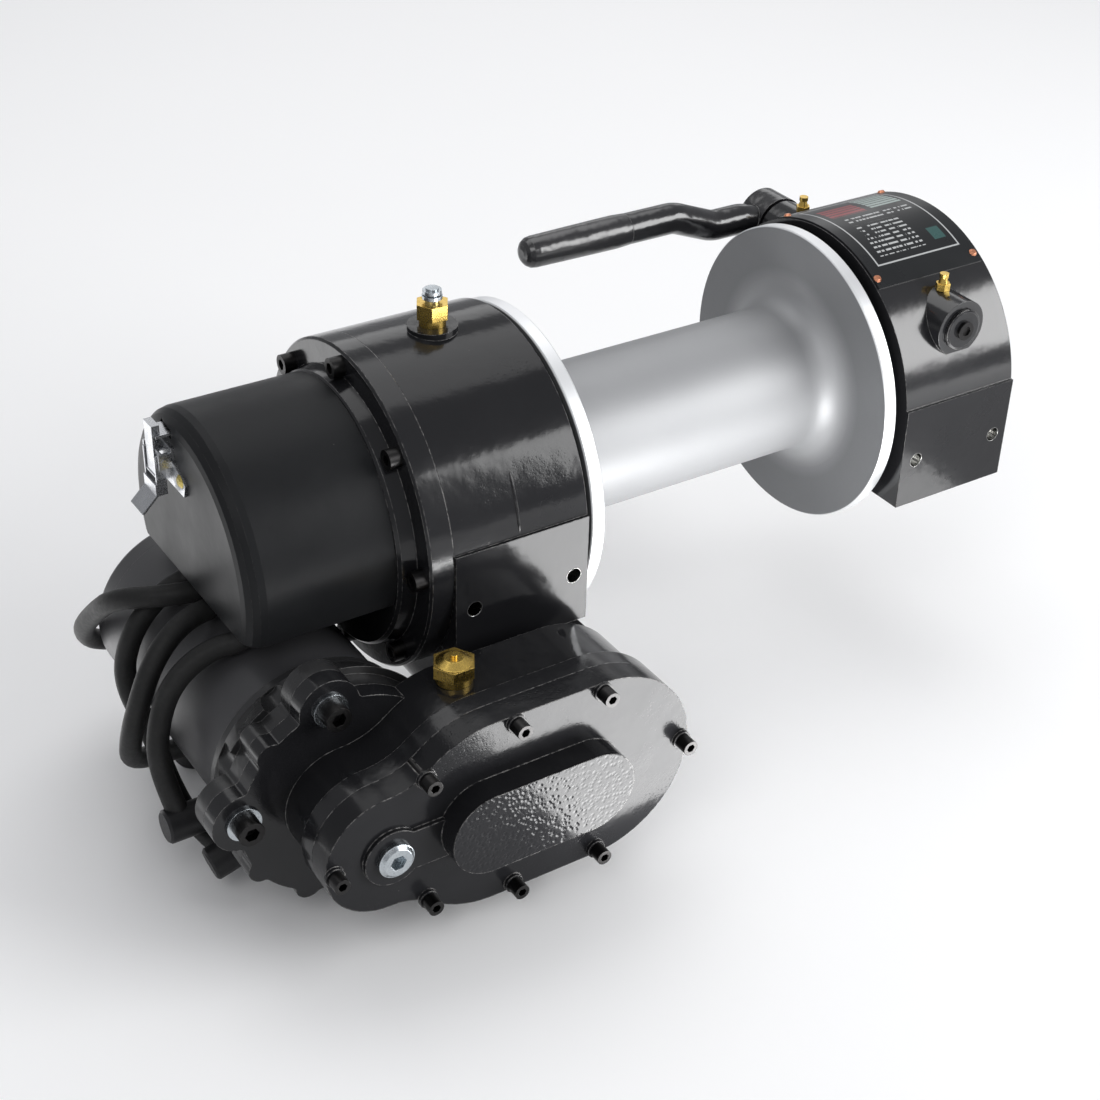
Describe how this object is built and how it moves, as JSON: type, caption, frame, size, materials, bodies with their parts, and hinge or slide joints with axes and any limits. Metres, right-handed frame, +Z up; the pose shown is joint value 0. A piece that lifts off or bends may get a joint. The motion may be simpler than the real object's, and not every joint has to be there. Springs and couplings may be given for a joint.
{
  "type": "electric worm gear winch motor unit",
  "caption": "Direct-current motor drives a reduction case, a worm gear and a silver rope drum, with a jaw clutch worked by a hand lever and a covered control box.",
  "frame": {"origin": "on the drum axis, half way along the rope barrel", "axes": "+X along the drum axis towards the clutch housing, -Y out of the tapped mounting pads, +Z up from the housings' flat bases"},
  "size_m": [0.6386, 0.3485, 0.3355],
  "materials": {
    "gloss_black": "gloss enamel over castings",
    "satin_black": "satin powder coat",
    "cast_black": "black paint over a rough casting",
    "motor_paint": "fine textured satin black paint",
    "silver_paint": "silver paint, satin",
    "machined_steel": "machined",
    "bearing_steel": "ground",
    "black_oxide": "black oxide",
    "zinc": "bright zinc plate",
    "yellow_zinc": "yellow zinc plate",
    "brass": "turned",
    "bronze": "cast bronze",
    "copper": "copper",
    "cast_iron": "bare",
    "carbon": "carbon brush",
    "plate_print": "black printed aluminium plate",
    "rubber": "matt rubber",
    "grip_rubber": "rough rubber",
    "cable_sheath": "satin sheath"
  },
  "bodies": {
    "frame": {"gear_housing": "gloss_black", "gear_cover": "gloss_black", "gear_cover_screws": "black_oxide", "shaft_bushings": "bronze", "breather_body": "brass", "breather_cap": "zinc", "reduction_case": "gloss_black", "reduction_cover": "cast_black", "reduction_cover_screws": "black_oxide", "filler_plug": "brass", "level_plug": "zinc", "worm_bearings": "bearing_steel", "idler_pin": "machined_steel", "clutch_housing": "gloss_black", "grease_fittings": "brass", "nameplate": "plate_print", "nameplate_rivets": "copper", "motor_frame": "motor_paint", "drive_end_bell": "cast_black", "commutator_end_cap": "motor_paint", "pole_shoes": "cast_iron", "field_coils": "copper", "brushes": "carbon", "motor_bearings": "bearing_steel", "motor_bolts": "black_oxide", "motor_washers": "zinc", "terminal_studs": "zinc", "terminal_boots": "rubber", "control_tray": "satin_black", "contactors": "zinc", "latch_keeper": "zinc", "cable_grommets": "rubber", "cable_a": "cable_sheath", "cable_b": "cable_sheath", "cable_c": "cable_sheath", "cable_d": "cable_sheath"},
    "drum": {"drum": "silver_paint", "drum_bushings": "bronze"},
    "drive_shaft": {"drum_shaft": "machined_steel", "worm_wheel": "bronze"},
    "clutch_jaw": {"clutch_jaw": "machined_steel"},
    "worm": {"worm_shaft": "machined_steel", "output_gear": "machined_steel"},
    "idler": {"idler_gear": "machined_steel"},
    "armature": {"armature_shaft": "machined_steel", "armature_core": "cast_iron", "commutator": "copper", "motor_pinion": "machined_steel"},
    "clutch_lever": {"cross_shaft": "machined_steel", "clutch_fork": "cast_iron", "clutch_lever": "gloss_black", "lever_grip": "grip_rubber", "shaft_washer": "gloss_black", "shaft_screw": "black_oxide"},
    "control_cover": {"control_cover": "satin_black", "latch_base": "zinc", "latch_rivets": "yellow_zinc"},
    "latch_lever": {"latch_lever": "zinc"},
    "latch_loop": {"latch_loop": "zinc"}
  },
  "joints": [
    {"name": "drum_spin", "type": "hinge", "parent": "frame", "child": "drum", "pos_m": [0, 0, 0], "axis": [1, 0, 0], "continuous": true},
    {"name": "drive_shaft_spin", "type": "hinge", "parent": "frame", "child": "drive_shaft", "pos_m": [0, 0, 0], "axis": [1, 0, 0], "continuous": true},
    {"name": "worm_spin", "type": "hinge", "parent": "frame", "child": "worm", "pos_m": [-0.177, 0, -0.104], "axis": [0, 1, 0], "continuous": true},
    {"name": "idler_spin", "type": "hinge", "parent": "frame", "child": "idler", "pos_m": [-0.26325, -0.17, -0.104], "axis": [0, 1, 0], "continuous": true},
    {"name": "armature_spin", "type": "hinge", "parent": "frame", "child": "armature", "pos_m": [-0.317, 0, -0.104], "axis": [0, 1, 0], "continuous": true},
    {"name": "clutch_lever_turn", "type": "hinge", "parent": "frame", "child": "clutch_lever", "pos_m": [0.18, 0, 0.062], "axis": [0, -1, 0], "range_deg": [0, 14.5]},
    {"name": "clutch_jaw_slide", "type": "slide", "parent": "drive_shaft", "child": "clutch_jaw", "axis": [1, 0, 0], "range_m": [0, 0.016]},
    {"name": "cover_slide", "type": "slide", "parent": "frame", "child": "control_cover", "axis": [-1, 0, 0], "range_m": [0, 0.1]},
    {"name": "latch_lever_turn", "type": "hinge", "parent": "control_cover", "child": "latch_lever", "pos_m": [-0.355, 0.021, 0.06], "axis": [0, 1, 0], "range_deg": [0, 100]},
    {"name": "latch_loop_turn", "type": "hinge", "parent": "latch_lever", "child": "latch_loop", "pos_m": [-0.358, 0.021, 0.048], "axis": [0, 1, 0], "range_deg": [-100, 0]}
  ],
  "couplings": [
    {"joint": "drive_shaft_spin", "follows": "drum_spin", "ratio": 1},
    {"joint": "worm_spin", "follows": "drum_spin", "ratio": -41},
    {"joint": "idler_spin", "follows": "drum_spin", "ratio": 56.552},
    {"joint": "armature_spin", "follows": "drum_spin", "ratio": -117.14},
    {"joint": "clutch_jaw_slide", "follows": "clutch_lever_turn", "m_per_rad": 0.062},
    {"joint": "latch_loop_turn", "follows": "latch_lever_turn", "ratio": -1}
  ]
}
